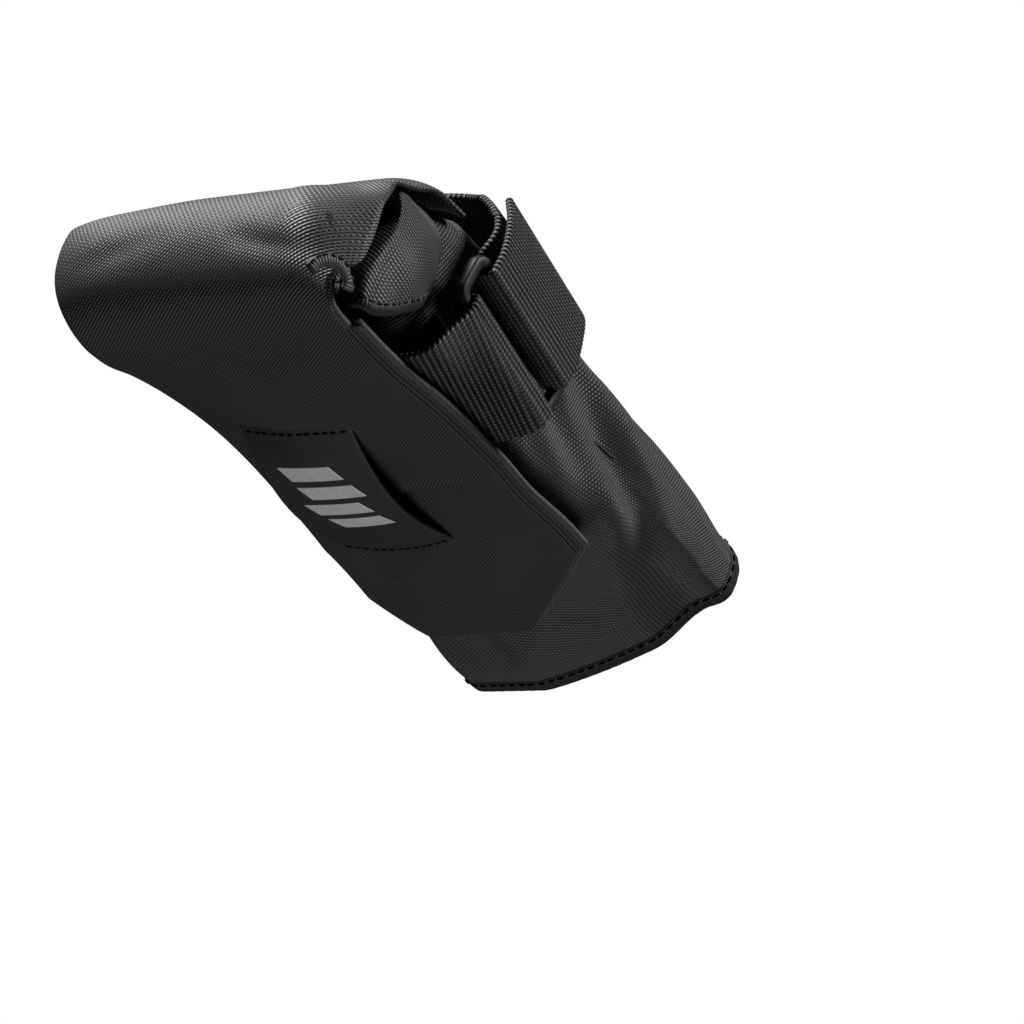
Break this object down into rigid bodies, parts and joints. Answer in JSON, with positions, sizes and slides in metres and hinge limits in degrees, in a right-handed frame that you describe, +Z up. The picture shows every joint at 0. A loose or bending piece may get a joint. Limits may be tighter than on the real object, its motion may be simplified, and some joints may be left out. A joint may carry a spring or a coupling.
{
  "type": "saddle bag",
  "caption": "Wrap-style saddle bag with open front mouth, folding rear flap, light loop and a ribbed strap with a ring that hangs it under two saddle rails.",
  "frame": {"origin": "midway between the two rail axes, at the middle of the strap that holds the bag", "axes": "+X forward along the rails, +Y to the bicycle's left, +Z up, square to the rails"},
  "size_m": [0.186, 0.091, 0.0667],
  "materials": {
    "woven_shell": "coarse woven, satin",
    "lining_cloth": "fine woven, matt",
    "stretch_cloth": "knitted stretch mesh, matt",
    "binding_tape": "ribbed grosgrain tape",
    "hook_and_loop": "brushed hook and loop",
    "webbing": "heavy cross-ribbed webbing",
    "ring_plastic": "moulded, satin",
    "loop_rubber": "smooth coated sheet, matt",
    "reflective_film": "retroreflective print"
  },
  "bodies": {
    "wrap": {"outer_wrap": "woven_shell", "near_wing": "woven_shell", "far_wing": "woven_shell", "rear_fold": "woven_shell", "lining": "lining_cloth", "pocket_lever": "stretch_cloth", "pocket_inflator": "stretch_cloth", "pocket_patches": "stretch_cloth", "mesh_divider": "stretch_cloth", "pocket_elastics": "binding_tape", "front_binding": "binding_tape", "near_wing_binding": "binding_tape", "far_wing_binding": "binding_tape", "loop_patch": "hook_and_loop", "strap_loop_tape": "hook_and_loop", "strap_base": "webbing", "strap_near_loop": "webbing", "strap_riser": "webbing", "strap_over": "webbing", "strap_far": "webbing"},
    "flap": {"flap_panel": "woven_shell", "flap_binding": "binding_tape", "flap_inner_panel": "lining_cloth", "flap_inner_binding": "binding_tape", "hook_patch": "hook_and_loop", "light_loop": "loop_rubber", "reflective_patch": "reflective_film"},
    "ring": {"strap_ring": "ring_plastic"},
    "tail": {"strap_tail": "webbing", "strap_hook_tape": "hook_and_loop"}
  },
  "joints": [
    {"name": "flap_fold", "type": "hinge", "parent": "wrap", "child": "flap", "pos_m": [-0.0526, 0, -0.034], "axis": [0, 1, 0], "range_deg": [0, 150], "deforming": ["rear_fold"]},
    {"name": "ring_rock", "type": "hinge", "parent": "wrap", "child": "ring", "pos_m": [-0.00864, -0.04381, -0.03579], "axis": [0.972, 0, -0.2351], "range_deg": [-3, 3]},
    {"name": "tail_peel", "type": "hinge", "parent": "wrap", "child": "tail", "pos_m": [-0.00533, -0.04896, -0.02211], "axis": [0.972, 0, -0.2351], "range_deg": [0, 100]}
  ]
}
